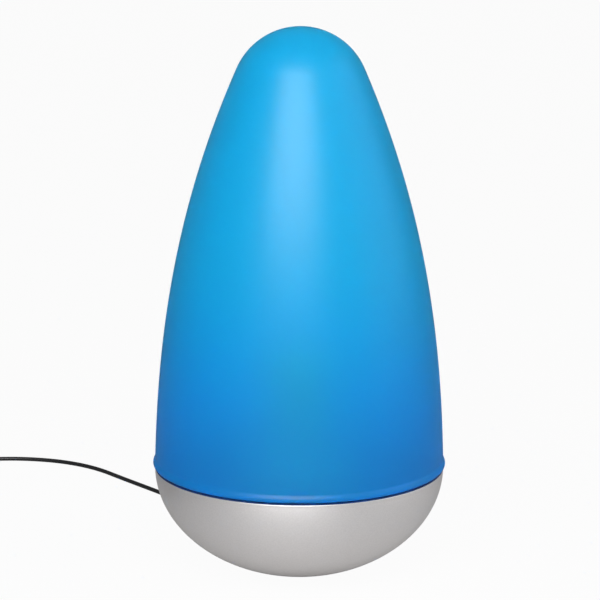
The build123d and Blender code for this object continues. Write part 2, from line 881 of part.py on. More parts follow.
# Strain relief: a moulded bush in the bowl's rear wall with a tapered sleeve round the lead.
sleeve_end = relief_wall_gap + relief_flange + relief_sleeve
catch_start = -(bowl_wall + relief_wall_gap)
with BuildPart() as strain_relief:
    with BuildSketch(relief_plane.offset(relief_wall_gap)):
        Circle(relief_flange_radius)
    extrude(amount=relief_flange)
    with BuildSketch(relief_plane.offset(relief_wall_gap + relief_flange)):
        Circle(relief_neck_radius)
    with BuildSketch(relief_plane.offset(sleeve_end)):
        Circle(relief_tip_radius)
    loft()
    with BuildSketch(relief_plane.offset(catch_start - relief_catch)):
        Circle(relief_catch_radius)
    extrude(amount=relief_catch)
    with BuildSketch(relief_plane.offset(catch_start)):
        Circle(relief_neck_radius)
    extrude(amount=relief_wall_gap - catch_start)
    with BuildSketch(relief_plane.offset(catch_start - relief_catch)):
        Circle(cord_radius + slip_fit)
    extrude(amount=sleeve_end - catch_start + relief_catch, mode=Mode.SUBTRACT)
keep(strain_relief, "strain_relief")


def roundings(points):
    """The largest bend at each corner of a route: 0.45 of the shorter run over tan of half the turn."""
    radii = []
    for before, here, after in zip(points, points[1:], points[2:]):
        turn = math.radians((here - before).get_angle(after - here))
        shorter = min((here - before).length, (after - here).length)
        radii.append(0.45 * shorter / math.tan(turn / 2))
    return radii


def report_tube(name, path, tube, radius, radii=()):
    """Print a tube's bends, its length and its volume over its section times its length."""
    length = sum(edge.length for edge in path.edges())
    share = tube.part.volume / (math.pi * radius**2 * length)
    print(name, "length", round(length, 1), "volume share", round(share, 4))
    if radii:
        print(name, "radii", [round(bend, 1) for bend in radii])


# Power lead outside: straight out of the relief, down to the table and away to the back left, then
# round to the in-line switch.
lead_out = relief_plane.z_dir
lead_exit = relief_plane.origin + lead_out * sleeve_end
table_reach = (lead_exit.Z - lay_height) / -lead_out.Z
switch_back = switch_place[1] + switch_length / 2
lead_route = [
    lead_exit,
    lead_exit + lead_out * table_reach,
    Vector(-63.5, 106.5, lay_height),
    Vector(-84.5, 139.5, lay_height),
    Vector(-108.0, 169.0, lay_height),
    Vector(-131.0, 197.2, lay_height),
    Vector(-153.0, 225.5, lay_height),
    Vector(-178.0, 243.0, lay_height),
    Vector(-205.0, 251.0, lay_height),
    Vector(-229.0, 251.5, lay_height),
    Vector(-247.0, 243.5, lay_height + 1.0),
    Vector(switch_place[0] + 0.4, switch_back + 18.0, switch_axis_height),
    Vector(switch_place[0], switch_back, switch_axis_height),
]
with BuildPart() as power_cord:
    with BuildLine() as lead_path:
        FilletPolyline(*lead_route, radius=roundings(lead_route))
    with BuildSketch(Plane(origin=lead_exit, z_dir=lead_out)):
        Circle(cord_radius)
    sweep(path=lead_path.line)
keep(power_cord, "power_cord")
report_tube("power_cord", lead_path, power_cord, cord_radius, roundings(lead_route))

# Inner lead: the same lead from the sleeve's end through the bush and behind the fan to the board.
lead_inside = relief_plane.origin - lead_out * (bowl_wall + 8.0)
inner_route = [
    lead_exit,
    lead_inside,
    Vector(-28.0, 52.0, connector_axis + 5.0),
    Vector(-6.0, 48.5, connector_axis),
    Vector(18.0, 47.0, connector_axis),
    Vector(connector_place[0], 42.0, connector_axis),
    Vector(connector_place[0], connector_place[1] + connector_size[1] / 2, connector_axis),
]
with BuildPart() as inner_lead:
    with BuildLine() as inner_path:
        FilletPolyline(*inner_route, radius=roundings(inner_route))
    with BuildSketch(Plane(origin=lead_exit, z_dir=-lead_out)):
        Circle(cord_radius)
    sweep(path=inner_path.line)
keep(inner_lead, "inner_lead")
report_tube("inner_lead", inner_path, inner_lead, cord_radius, roundings(inner_route))

# In-line switch: two half shells round the lead, a rocker on a pivot, and two screws from below.
switch_plane = Plane(origin=(switch_place[0], switch_place[1], 0))
switch_screws_at = [
    beside(switch_place, (side * switch_post_place[0], side * switch_post_place[1]))
    for side in (-1, 1)
]
switch_roof = switch_height - switch_wall
cavity_corner = switch_corner - switch_wall
post_bore = small_shank + screw_fit
pocket = small_head_height + head_recess


def cord_notches(length):
    """Cut the round passage for the lead through both ends of a shell."""
    with Locations((switch_place[0], switch_place[1], switch_axis_height)):
        Cylinder(cord_radius + slip_fit, length, rotation=(90, 0, 0), mode=Mode.SUBTRACT)


with BuildPart() as switch_base:
    with BuildSketch(switch_plane):
        RectangleRounded(switch_width, switch_length, switch_corner)
    extrude(amount=switch_axis_height)
    fillet(switch_base.edges().group_by(Axis.Z)[0], switch_edge)
    with BuildSketch(switch_plane.offset(switch_wall)):
        RectangleRounded(
            switch_width - 2 * switch_wall, switch_length - 2 * switch_wall, cavity_corner
        )
    extrude(amount=switch_axis_height - switch_wall, mode=Mode.SUBTRACT)
    for place in switch_screws_at:
        pillar(switch_post_radius, switch_wall, switch_axis_height, place)
        pillar(small_shank + slip_fit, 0.0, switch_axis_height, place, Mode.SUBTRACT)
        pillar(small_head + slip_fit, 0.0, pocket, place, Mode.SUBTRACT)
    cord_notches(switch_length)
keep(switch_base, "switch_base")

window = (rocker_width + 2 * rocker_side_gap, rocker_length + 2 * rocker_gap)
lug_middle = window[0] / 2 + lug_width / 2
with BuildPart() as switch_cover:
    with BuildSketch(switch_plane.offset(switch_axis_height)):
        RectangleRounded(switch_width, switch_length, switch_corner)
    extrude(amount=switch_height - switch_axis_height)
    fillet(switch_cover.edges().group_by(Axis.Z)[-1], switch_edge)
    with BuildSketch(switch_plane.offset(switch_axis_height)):
        RectangleRounded(
            switch_width - 2 * switch_wall, switch_length - 2 * switch_wall, cavity_corner
        )
    extrude(amount=switch_roof - switch_axis_height, mode=Mode.SUBTRACT)
    for place in switch_screws_at:
        pillar(switch_post_radius, switch_axis_height, switch_roof, place)
        pillar(post_bore, switch_axis_height, switch_roof, place, Mode.SUBTRACT)
    for side in (-1, 1):
        block(
            lug_width,
            lug_length,
            switch_roof - lug_depth,
            switch_roof,
            beside(switch_place, (side * lug_middle, 0.0)),
        )
    block(*window, switch_axis_height, switch_height, switch_place, Mode.SUBTRACT)
    with Locations((switch_place[0], switch_place[1], pivot_height)):
        Cylinder(
            pivot_radius + running_fit, pivot_length + 2 * slip_fit,
            rotation=(0, 90, 0), mode=Mode.SUBTRACT,
        )
    cord_notches(switch_length)
keep(switch_cover, "switch_cover")

half = rocker_length / 2
tilt = math.radians(rocker_tilt)
rocker_turn = Plane(
    origin=(switch_place[0], switch_place[1], pivot_height),
    x_dir=(0, math.cos(tilt), math.sin(tilt)),
    z_dir=(1, 0, 0),
)
with BuildPart() as switch_rocker:
    with BuildSketch(rocker_turn):
        with BuildLine():
            Polyline(
                (-half, rocker_end_rise - rocker_end_depth),
                (-half, rocker_end_rise),
                (0, rocker_end_rise - rocker_dip),
                (half, rocker_end_rise),
                (half, rocker_end_rise - rocker_end_depth),
                (rocker_belly / 2, -rocker_drop),
                (-rocker_belly / 2, -rocker_drop),
                close=True,
            )
        make_face()
    extrude(amount=rocker_width / 2, both=True)
    with BuildSketch(rocker_turn):
        Circle(pivot_radius)
    extrude(amount=pivot_length / 2, both=True)
keep(switch_rocker, "switch_rocker")

with BuildPart() as switch_screws:
    screw(
        switch_screws_at, pocket, switch_roof - pocket - slip_fit, small_shank, small_head,
        small_head_height,
    )
keep(switch_screws, "switch_screws")

# Stored lead: one unbroken tube from the switch, wound in and out again in two layers, and on to
# the wall adapter.
coil_pitch = cord_diameter + coil_gap
coil_low = tie_thickness + tie_gap + lay_height
coil_high = coil_low + coil_pitch
coil_inner_radius = coil_outer_radius - coil_pitch * coil_turns / 2
switch_front = switch_place[1] - switch_length / 2
coil_centre = (switch_place[0] - coil_outer_radius, switch_front - coil_lead)
adapter_axis_height = adapter_height / 2
coil_end = coil_centre[1] - coil_lead
ahead = Vector(0, -1, 0)


def coil_point(turn):
    """The lead's middle after so many turns: in to the middle of the coil, up a layer, and out."""
    from_inside = abs(turn - coil_turns / 2)
    radius = coil_inner_radius + coil_pitch * from_inside
    climb = min(max((turn - coil_turns / 2) * 2 + 0.5, 0.0), 1.0)
    height = coil_low + (coil_high - coil_low) * (3 * climb**2 - 2 * climb**3)
    angle = -2 * math.pi * turn
    return Vector(
        coil_centre[0] + radius * math.cos(angle), coil_centre[1] + radius * math.sin(angle), height
    )


def coil_heading(turn):
    """The direction of the lead there, straight ahead at both ends of the coil."""
    if turn in (0, coil_turns):
        return ahead
    step = 1e-4
    return (coil_point(turn + step) - coil_point(turn - step)).normalized()


def biarc(start, start_heading, end, end_heading):
    """Two tangent arcs from one place and heading to another."""
    reach = end - start
    headings = start_heading + end_heading
    spread = 2 * (1 - start_heading.dot(end_heading))
    along = reach.dot(headings)
    if spread < 1e-9:
        pull = reach.dot(reach) / (4 * reach.dot(end_heading))
    else:
        pull = (math.sqrt(along**2 + spread * reach.dot(reach)) - along) / spread
    joint = (start + end + (start_heading - end_heading) * pull) / 2
    first = TangentArc(start, joint, tangent=start_heading)
    TangentArc(joint, end, tangent=first % 1)


quarters = [quarter / 4 for quarter in range(4 * coil_turns + 1)]
coil_start = Vector(switch_place[0], switch_front, switch_axis_height)
coil_finish = Vector(switch_place[0], coil_end, adapter_axis_height)
with BuildPart() as cord_coil:
    with BuildLine() as coil_path:
        Line(coil_start, coil_start + ahead * cord_diameter)
        biarc(coil_start + ahead * cord_diameter, ahead, coil_point(0), ahead)
        for turn, next_turn in zip(quarters, quarters[1:]):
            biarc(
                coil_point(turn), coil_heading(turn), coil_point(next_turn), coil_heading(next_turn)
            )
        biarc(coil_point(coil_turns), ahead, coil_finish - ahead * cord_diameter, ahead)
        Line(coil_finish - ahead * cord_diameter, coil_finish)
    with BuildSketch(Plane(origin=coil_start, z_dir=ahead)):
        Circle(cord_radius)
    sweep(path=coil_path.line)
keep(cord_coil, "cord_coil")

# The least gap between the coil's turns, measured from points along the wound tube.
samples = [coil_point(coil_turns * step / 800) for step in range(801)]
apart = min(
    (samples[here] - samples[there]).length
    for here in range(len(samples))
    for there in range(here + 40, len(samples))
)
print("cord_coil least gap to itself", round(apart - cord_diameter, 2))
report_tube("cord_coil", coil_path, cord_coil, cord_radius)

# Cord tie: the band round the coil's bundle of turns, on the side away from the switch.
tie_inside = coil_inner_radius - cord_radius - tie_gap
tie_outside = coil_outer_radius + cord_radius + tie_gap
tie_bottom = coil_low - cord_radius - tie_gap
tie_top = coil_high + cord_radius + tie_gap
tie_plane = Plane(
    origin=(
        coil_centre[0] - (tie_inside + tie_outside) / 2,
        coil_centre[1],
        (tie_bottom + tie_top) / 2,
    ),
    x_dir=(1, 0, 0),
    z_dir=(0, -1, 0),
)
with BuildPart() as cord_tie:
    with BuildSketch(tie_plane):
        RectangleRounded(
            tie_outside - tie_inside + 2 * tie_thickness,
            tie_top - tie_bottom + 2 * tie_thickness,
            tie_corner,
        )
        RectangleRounded(
            tie_outside - tie_inside, tie_top - tie_bottom, tie_corner - tie_thickness,
            mode=Mode.SUBTRACT,
        )
    extrude(amount=tie_width / 2, both=True)
keep(cord_tie, "cord_tie")

# Wall adapter: two half shells with a sleeve round the lead, two round pins, and the supply inside.
adapter_back = coil_end - adapter_sleeve
adapter_place = (switch_place[0], adapter_back - adapter_length / 2)
adapter_plane = Plane(origin=(adapter_place[0], adapter_place[1], 0))
pin_places = [adapter_place[1] + pin_offset + side * pin_spacing / 2 for side in (-1, 1)]
pin_face = adapter_place[0] - adapter_width / 2
shell_corner = adapter_corner - adapter_wall


def adapter_openings():
    """Cut the passages for the lead and for the pins' collars, half in each shell."""
    with Locations((adapter_place[0], adapter_back, adapter_axis_height)):
        Cylinder(
            adapter_sleeve_root + slip_fit, 2 * adapter_wall,
            rotation=(90, 0, 0), mode=Mode.SUBTRACT,
        )
    for along in pin_places:
        with Locations((pin_face, along, adapter_axis_height)):
            Cylinder(
                pin_collar_radius + slip_fit, 4 * adapter_wall,
                rotation=(0, 90, 0), mode=Mode.SUBTRACT,
            )


with BuildPart() as adapter_base:
    with BuildSketch(adapter_plane):
        RectangleRounded(adapter_width, adapter_length, adapter_corner)
    extrude(amount=adapter_axis_height)
    fillet(adapter_base.edges().group_by(Axis.Z)[0], adapter_edge)
    with BuildSketch(adapter_plane.offset(adapter_wall)):
        RectangleRounded(
            adapter_width - 2 * adapter_wall, adapter_length - 2 * adapter_wall, shell_corner
        )
    extrude(amount=adapter_axis_height - adapter_wall, mode=Mode.SUBTRACT)
    adapter_openings()
    for along in (-1, 1):
        block(
            adapter_board_size[0],
            adapter_wall,
            adapter_wall,
            adapter_wall + adapter_board_lift,
            beside(adapter_place, (0.0, along * adapter_board_size[1] / 3)),
        )
keep(adapter_base, "adapter_base")

with BuildPart() as adapter_cover:
    with BuildSketch(adapter_plane.offset(adapter_axis_height)):
        RectangleRounded(adapter_width, adapter_length, adapter_corner)
    extrude(amount=adapter_height - adapter_axis_height)
    fillet(adapter_cover.edges().group_by(Axis.Z)[-1], adapter_edge)
    with BuildSketch(adapter_plane.offset(adapter_axis_height)):
        RectangleRounded(
            adapter_width - 2 * adapter_wall, adapter_length - 2 * adapter_wall, shell_corner
        )
    extrude(amount=adapter_height - adapter_axis_height - adapter_wall, mode=Mode.SUBTRACT)
    adapter_openings()
keep(adapter_cover, "adapter_cover")

sleeve_root = (adapter_place[0], adapter_back, adapter_axis_height)
with BuildPart() as adapter_sleeve_piece:
    with BuildSketch(Plane(origin=sleeve_root, z_dir=(0, 1, 0))):
        Circle(adapter_sleeve_root)
    with BuildSketch(Plane(origin=coil_finish, z_dir=(0, 1, 0))):
        Circle(adapter_sleeve_tip)
    loft()
    with BuildSketch(Plane(origin=sleeve_root, z_dir=(0, -1, 0))):
        Circle(adapter_sleeve_root)
    extrude(amount=adapter_wall)
keep(adapter_sleeve_piece, "adapter_sleeve")

with BuildPart() as adapter_pins:
    for along in pin_places:
        pin_tip = (pin_face - pin_length, along, adapter_axis_height)
        with BuildSketch(Plane(origin=pin_tip, z_dir=(1, 0, 0))):
            Circle(pin_radius)
    extrude(amount=pin_length)
    fillet(adapter_pins.edges().group_by(Axis.X)[0], pin_radius / 2)
    for along in pin_places:
        with BuildSketch(Plane(origin=(pin_face, along, adapter_axis_height), z_dir=(1, 0, 0))):
            Circle(pin_collar_radius)
    extrude(amount=pin_root)
keep(adapter_pins, "adapter_pins")

board_seat = adapter_wall + adapter_board_lift
with BuildPart() as adapter_board:
    block(
        adapter_board_size[0],
        adapter_board_size[1],
        board_seat,
        board_seat + adapter_board_size[2],
        adapter_place,
    )
keep(adapter_board, "adapter_board")

with BuildPart() as adapter_transformer:
    block(
        transformer_size[0],
        transformer_size[1],
        board_seat + adapter_board_size[2],
        board_seat + adapter_board_size[2] + transformer_size[2],
        beside(adapter_place, (pin_root / 2, 0.0)),
    )
keep(adapter_transformer, "adapter_transformer")

# Transducer lead: the twin wire from the piezo disc's middle to the driver board's edge.
wire_start = Vector(transducer_place[0], transducer_place[1], piezo_low)
wire_lay = board_top + wire_radius + wire_lift
wire_route = [
    wire_start,
    wire_start + Vector(0, 0, -6.5),
    Vector(9.0, transducer_place[1] - 0.5, board_top + 1.2),
    Vector(16.0, transducer_place[1], wire_lay),
    Vector(board_centre[0] - board_width / 2 + 4.0, transducer_place[1] + 0.4, wire_lay),
]
with BuildPart() as transducer_lead:
    with BuildLine() as wire_path:
        FilletPolyline(*wire_route, radius=roundings(wire_route))
    with BuildSketch(Plane(origin=wire_start, z_dir=(0, 0, -1))):
        Circle(wire_radius)
    sweep(path=wire_path.line)
keep(transducer_lead, "transducer_lead")
report_tube("transducer_lead", wire_path, transducer_lead, wire_radius, roundings(wire_route))
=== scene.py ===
import json
import math

import bmesh
import bpy
from mathutils import Matrix, Vector

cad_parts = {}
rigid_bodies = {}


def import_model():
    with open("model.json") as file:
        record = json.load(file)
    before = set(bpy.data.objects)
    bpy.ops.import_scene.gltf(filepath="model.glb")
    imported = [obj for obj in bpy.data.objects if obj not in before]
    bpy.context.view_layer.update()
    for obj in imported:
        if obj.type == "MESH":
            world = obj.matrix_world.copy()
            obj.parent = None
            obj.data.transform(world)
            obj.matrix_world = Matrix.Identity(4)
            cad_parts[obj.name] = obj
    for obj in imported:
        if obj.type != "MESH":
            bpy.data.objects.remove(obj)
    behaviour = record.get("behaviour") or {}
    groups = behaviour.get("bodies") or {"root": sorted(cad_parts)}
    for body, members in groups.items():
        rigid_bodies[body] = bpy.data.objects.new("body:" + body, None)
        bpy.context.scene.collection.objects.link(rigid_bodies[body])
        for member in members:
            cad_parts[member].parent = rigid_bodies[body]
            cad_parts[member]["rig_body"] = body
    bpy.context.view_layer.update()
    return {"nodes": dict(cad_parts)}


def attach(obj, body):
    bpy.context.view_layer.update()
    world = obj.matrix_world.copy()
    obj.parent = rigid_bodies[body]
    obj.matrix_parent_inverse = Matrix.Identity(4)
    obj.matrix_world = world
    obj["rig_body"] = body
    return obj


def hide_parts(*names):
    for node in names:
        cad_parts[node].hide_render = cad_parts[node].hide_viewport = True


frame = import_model()
scene = bpy.context.scene
MM = 0.001


# Studio: a long lens a little above the middle of the dome, a pale floor that runs back to a white
# surround, and large soft boxes, so that frosted plastic and satin metal show broad, quiet highlights.
def linear(code):
    """The linear colour of an sRGB hex code."""
    shares = [int(code[at:at + 2], 16) / 255 for at in (1, 3, 5)]
    return tuple(s / 12.92 if s <= 0.04045 else ((s + 0.055) / 1.055) ** 2.4 for s in shares) + (1.0,)


def add(tree, kind, values=None, links=None, **settings):
    """Add a node to a tree: its own settings, the values of its inputs, and what feeds them."""
    node = tree.nodes.new(kind)
    for name, setting in settings.items():
        setattr(node, name, setting)
    for socket, value in (values or {}).items():
        node.inputs[socket].default_value = value
    for socket, source in (links or {}).items():
        tree.links.new(source, node.inputs[socket])
    return node


def shown(name, data):
    """A new object at the origin, in the scene."""
    made = bpy.data.objects.new(name, data)
    scene.collection.objects.link(made)
    return made


scene.view_settings.view_transform = "Standard"
photo_side = 600
focal_pixels = 2457.0
view_distance = 1.6
view_lift = math.radians(11.8)
view_roll = math.radians(0.22)
look_at = Vector((0.0, 0.0, 0.1786))
camera = shown("camera", bpy.data.cameras.new("camera"))
camera.data.sensor_width = 36.0
camera.data.lens = camera.data.sensor_width * focal_pixels / photo_side
camera.data.shift_x = 0.0004
camera.data.shift_y = 0.0012
backward = Vector((0.0, -math.cos(view_lift), math.sin(view_lift)))
level = (-backward).to_track_quat("-Z", "Y").to_matrix().to_4x4()
camera.location = look_at + backward * view_distance
camera.rotation_euler = (level @ Matrix.Rotation(view_roll, 4, "Z")).to_euler()
scene.camera = camera


def shown_share(tree, seen, mirrored, otherwise):
    """A share for what the camera sees, also through glass, for what is mirrored, and for other light."""
    path = add(tree, "ShaderNodeLightPath")
    direct = add(
        tree, "ShaderNodeMath",
        links={0: path.outputs["Is Camera Ray"], 1: path.outputs["Is Transmission Ray"]},
        operation="MAXIMUM",
    )
    glossy = add(
        tree, "ShaderNodeMapRange", {"To Min": otherwise, "To Max": mirrored},
        {"Value": path.outputs["Is Glossy Ray"]},
    )
    return add(
        tree, "ShaderNodeMapRange", {"To Max": seen},
        {"Value": direct.outputs[0], "To Min": glossy.outputs[0]},
    )


scene.world = bpy.data.worlds.new("white_surround")
scene.world.use_nodes = True
surround = scene.world.node_tree
surround_strength = shown_share(surround, seen=1.0, mirrored=0.25, otherwise=0.06)
surround.links.new(surround_strength.outputs[0], surround.nodes["Background"].inputs["Strength"])
surround.nodes["Background"].inputs["Color"].default_value = linear("#FFFFFF")

floor_half = 12.0
floor_drop = 0.2
floor_mesh = bpy.data.meshes.new("floor")
floor_mesh.from_pydata(
    [(x * floor_half, y * floor_half, -floor_drop * MM) for x, y in ((-1, -1), (1, -1), (1, 1), (-1, 1))],
    [], [(0, 1, 2, 3)],
)
floor = shown("floor", floor_mesh)
floor_paint = bpy.data.materials.new("matt_white_paper")
floor_paint.use_nodes = True
paper = floor_paint.node_tree
paper.nodes.clear()
floor_share = shown_share(paper, seen=0.96, mirrored=0.1, otherwise=0.0)
paper_diffuse = add(paper, "ShaderNodeBsdfDiffuse", {"Color": linear("#B2B2B2")})
paper_glow = add(paper, "ShaderNodeEmission", {"Color": linear("#FFFFFF"), "Strength": 1.0})
paper_mix = add(
    paper, "ShaderNodeMixShader",
    links={0: floor_share.outputs[0], 1: paper_diffuse.outputs[0], 2: paper_glow.outputs[0]},
)
add(paper, "ShaderNodeOutputMaterial", links={"Surface": paper_mix.outputs[0]})
floor_mesh.materials.append(floor_paint)

soft_boxes = (
    ("key_box", (-0.1, -0.76, 0.75), (0.75, 0.55), 12.9),
    ("fill_box", (1.5, -0.12, 0.9), (1.8, 1.6), 9.0),
    ("top_box", (0.1, 0.2, 1.5), (1.2, 1.0), 0.5),
)
for name, place, size, power in soft_boxes:
    lamp = shown(name, bpy.data.lights.new(name, "AREA"))
    lamp.data.shape = "RECTANGLE"
    lamp.data.size, lamp.data.size_y = size
    lamp.data.energy = power
    lamp.location = place
    lamp.rotation_euler = (look_at - lamp.location).to_track_quat("-Z", "Y").to_euler()
    lamp.visible_camera = False


# Power lead: one thin round cord in a black PVC sheath, drawn smooth from the extruder. It leaves the
# rear of the bowl, lies on the table, and its spare length is wound in a tied coil in two layers.
rough_drift = 0.06


def surface(name, light, dark, rough, grain, depth, cloud=14.0, painted_shade_heights=None, **sockets):
    """A material in two tones, in clouds or darkening between two heights as painted shade, with a fine
    grain, in mm.
    """
    material = bpy.data.materials.new(name)
    material.use_nodes = True
    tree = material.node_tree
    shader = tree.nodes["Principled BSDF"]
    for socket, value in sockets.items():
        shader.inputs[socket.replace("_", " ")].default_value = value
    here = add(tree, "ShaderNodeTexCoord").outputs["Object"]
    # Between two heights the two tones are painted shade: darker below, lighter above.
    if painted_shade_heights:
        height = add(tree, "ShaderNodeSeparateXYZ", links={0: here})
        drift = add(
            tree, "ShaderNodeMapRange", {"From Min": painted_shade_heights[0] * MM, "From Max": painted_shade_heights[1] * MM},
            {"Value": height.outputs["Z"]}, interpolation_type="SMOOTHSTEP",
        )
    else:
        drift = add(
            tree, "ShaderNodeTexNoise", {"Scale": 1 / (cloud * MM), "Detail": 2.0}, {"Vector": here}
        )
    tone = add(
        tree, "ShaderNodeMix", {6: linear(dark), 7: linear(light)}, {0: drift.outputs[0]},
        data_type="RGBA",
    )
    skin = add(tree, "ShaderNodeTexNoise", {"Scale": 1 / (grain * MM), "Detail": 3.0}, {"Vector": here})
    dull = add(
        tree, "ShaderNodeMapRange", {"To Min": rough - rough_drift, "To Max": rough + rough_drift},
        {"Value": skin.outputs[0]},
    )
    relief = add(tree, "ShaderNodeBump", {"Distance": depth * MM}, {"Height": skin.outputs[0]})
    tree.links.new(tone.outputs[2], shader.inputs["Base Color"])
    tree.links.new(dull.outputs[0], shader.inputs["Roughness"])
    tree.links.new(relief.outputs[0], shader.inputs["Normal"])
    return material


cord_diameter = 3.0
lead_exit = (-44.72, 74.43, 13.46)
lead_points = [
    lead_exit,
    (-50.74, 84.45, 1.6),
    (-63.5, 106.5, 1.6),
    (-84.5, 139.5, 1.6),
    (-108.0, 169.0, 1.6),
    (-131.0, 197.2, 1.6),
    (-153.0, 225.5, 1.6),
    (-178.0, 243.0, 1.6),
    (-205.0, 251.0, 1.6),
    (-229.0, 251.5, 1.6),
    (-247.0, 243.5, 2.6),
    (-257.6, 228.0, 5.0),
    (-258.0, 210.0, 5.0),
    (-258.0, 183.0, 5.0),
    (-258.0, 156.0, 5.0),
    (-258.0, 146.0, 4.7),
    (-258.0, 134.0, 3.0),
]
coil_turns = 8
coil_steps = 20
coil_centre = (-284.0, 122.0)
coil_inner_radius = 12.0
coil_pitch = 3.5
coil_low = 2.6
for step in range(coil_turns * coil_steps + 1):
    turn = step / coil_steps
    radius = coil_inner_radius + coil_pitch * abs(turn - coil_turns / 2)
    climb = min(max((turn - coil_turns / 2) * 2 + 0.5, 0.0), 1.0)
    lift = coil_low + coil_pitch * (3 * climb ** 2 - 2 * climb ** 3)
    lead_points.append((
        coil_centre[0] + radius * math.cos(math.tau * turn),
        coil_centre[1] - radius * math.sin(math.tau * turn),
        lift,
    ))
lead_points += [(-258.0, 110.0, 7.6), (-258.0, 98.0, 12.4), (-258.0, 88.0, 13.0)]
lead_curve = bpy.data.curves.new("power_lead", "CURVE")
lead_curve.dimensions = "3D"
lead_curve.bevel_depth = cord_diameter / 2 * MM
lead_curve.bevel_resolution = 3
lead_curve.resolution_u = 6
lead_curve.use_fill_caps = True
lead_line = lead_curve.splines.new("NURBS")
lead_line.points.add(len(lead_points) - 1)
for point, place in zip(lead_line.points, lead_points):
    point.co = (place[0] * MM, place[1] * MM, place[2] * MM, 1.0)
lead_line.order_u = 3
lead_line.use_endpoint_u = True
cord_sheath = surface("extruded_black_pvc", "#1B1B1D", "#0F0F11", 0.42, 0.9, 0.02)
lead_curve.materials.append(cord_sheath)
power_lead = shown("power_lead", lead_curve)
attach(power_lead, "base")
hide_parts("power_cord", "cord_coil")


# Foot ring: a moulded rubber ring with rounded edges, pressed into the groove under the base plate.
# The whole body stands on it, and it keeps the metal bowl from sliding and ringing.
def kept(piece, node):
    """Let a finished piece stand for its CAD node, on the node's body."""
    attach(piece, frame["nodes"][node]["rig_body"])
    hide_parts(node)


weld_gap = 0.002
usual_crease = 35.0


def smooth(mesh, crease=usual_crease):
    """Close a mesh, turn its faces outwards, and shade it smooth between its creases."""
    work = bmesh.new()
    work.from_mesh(mesh)
    bmesh.ops.remove_doubles(work, verts=work.verts, dist=weld_gap * MM)
    bmesh.ops.recalc_face_normals(work, faces=work.faces)
    work.to_mesh(mesh)
    work.free()
    mesh.polygons.foreach_set("use_smooth", [True] * len(mesh.polygons))
    mesh.set_sharp_from_angle(angle=math.radians(crease))


def grown(name, seed, tree, inputs):
    """Run a node tree on a mesh, and keep what it makes as a plain mesh."""
    piece = shown(name, seed)
    growth = piece.modifiers.new("growth", "NODES")
    growth.node_group = tree
    for item in tree.interface.items_tree:
        if item.name in inputs:
            growth[item.identifier] = inputs[item.name]
    made = bpy.data.meshes.new_from_object(piece.evaluated_get(bpy.context.evaluated_depsgraph_get()))
    piece.modifiers.remove(growth)
    if made.materials[0] is None:
        made.materials.pop(index=0)
    piece.data = made
    return piece


def tree_with(name, inputs):
    """A geometry tree with its named inputs, its input node, and one output."""
    tree = bpy.data.node_groups.new(name, "GeometryNodeTree")
    for label, kind in inputs:
        tree.interface.new_socket(label, in_out="INPUT", socket_type="NodeSocket" + kind)
    tree.interface.new_socket("Made", in_out="OUTPUT", socket_type="NodeSocketGeometry")
    return tree, add(tree, "NodeGroupInput").outputs


def close_tree(tree, given, shape):
    """End a tree: real geometry in the given material."""
    real = add(tree, "GeometryNodeRealizeInstances", links={0: shape})
    dressed = add(
        tree, "GeometryNodeSetMaterial", links={"Geometry": real.outputs[0], "Material": given["Material"]}
    )
    add(tree, "NodeGroupOutput", links={0: dressed.outputs[0]})


turning, given = tree_with("turning", [("Profile", "Geometry"), ("Steps", "Int"), ("Material", "Material")])
profile_size = add(turning, "GeometryNodeAttributeDomainSize", links={0: given["Profile"]})
corners = profile_size.outputs["Point Count"]
columns = add(turning, "ShaderNodeMath", {1: 1.0}, {0: given["Steps"]}, operation="ADD")
sheet = add(
    turning, "GeometryNodeMeshGrid", {"Size X": 1.0, "Size Y": 1.0},
    {"Vertices X": columns.outputs[0], "Vertices Y": corners},
)
on_sheet = add(turning, "GeometryNodeInputPosition")
across = add(turning, "ShaderNodeSeparateXYZ", links={0: on_sheet.outputs[0]})
upward = add(turning, "ShaderNodeMath", {1: 0.5}, {0: across.outputs["Y"]}, operation="ADD")
last_corner = add(turning, "ShaderNodeMath", {1: 1.0}, {0: corners}, operation="SUBTRACT")
row = add(
    turning, "ShaderNodeMath", links={0: upward.outputs[0], 1: last_corner.outputs[0]}, operation="MULTIPLY"
)
whole_row = add(turning, "ShaderNodeMath", links={0: row.outputs[0]}, operation="ROUND")
turned_by = add(turning, "ShaderNodeMath", {1: math.tau}, {0: across.outputs["X"]}, operation="MULTIPLY")
profile_corner = add(
    turning, "GeometryNodeSampleIndex",
    links={"Geometry": given["Profile"], "Value": on_sheet.outputs[0], "Index": whole_row.outputs[0]},
    data_type="FLOAT_VECTOR",
)
turned_corner = add(
    turning, "ShaderNodeVectorRotate",
    links={"Vector": profile_corner.outputs[0], "Angle": turned_by.outputs[0]},
    rotation_type="Z_AXIS",
)
turned_sheet = add(
    turning, "GeometryNodeSetPosition",
    links={"Geometry": sheet.outputs["Mesh"], "Position": turned_corner.outputs[0]},
)
close_tree(turning, given, turned_sheet.outputs[0])


def turned(name, profile, steps, material, crease=usual_crease):
    """A round piece turned from a profile of radius and height in millimetres."""
    line = bpy.data.meshes.new(name)
    line.from_pydata([(radius * MM, 0.0, height * MM) for radius, height in profile], [], [])
    piece = grown(name, line, turning, {"Steps": steps, "Material": material})
    smooth(piece.data, crease)
    return piece


def arc(middle, radii, start, end, steps):
    """Places on an arc or a part of an ellipse, between two angles in degrees."""
    angles = [math.radians(start + (end - start) * step / steps) for step in range(steps + 1)]
    return [(middle[0] + radii[0] * math.cos(a), middle[1] + radii[1] * math.sin(a)) for a in angles]


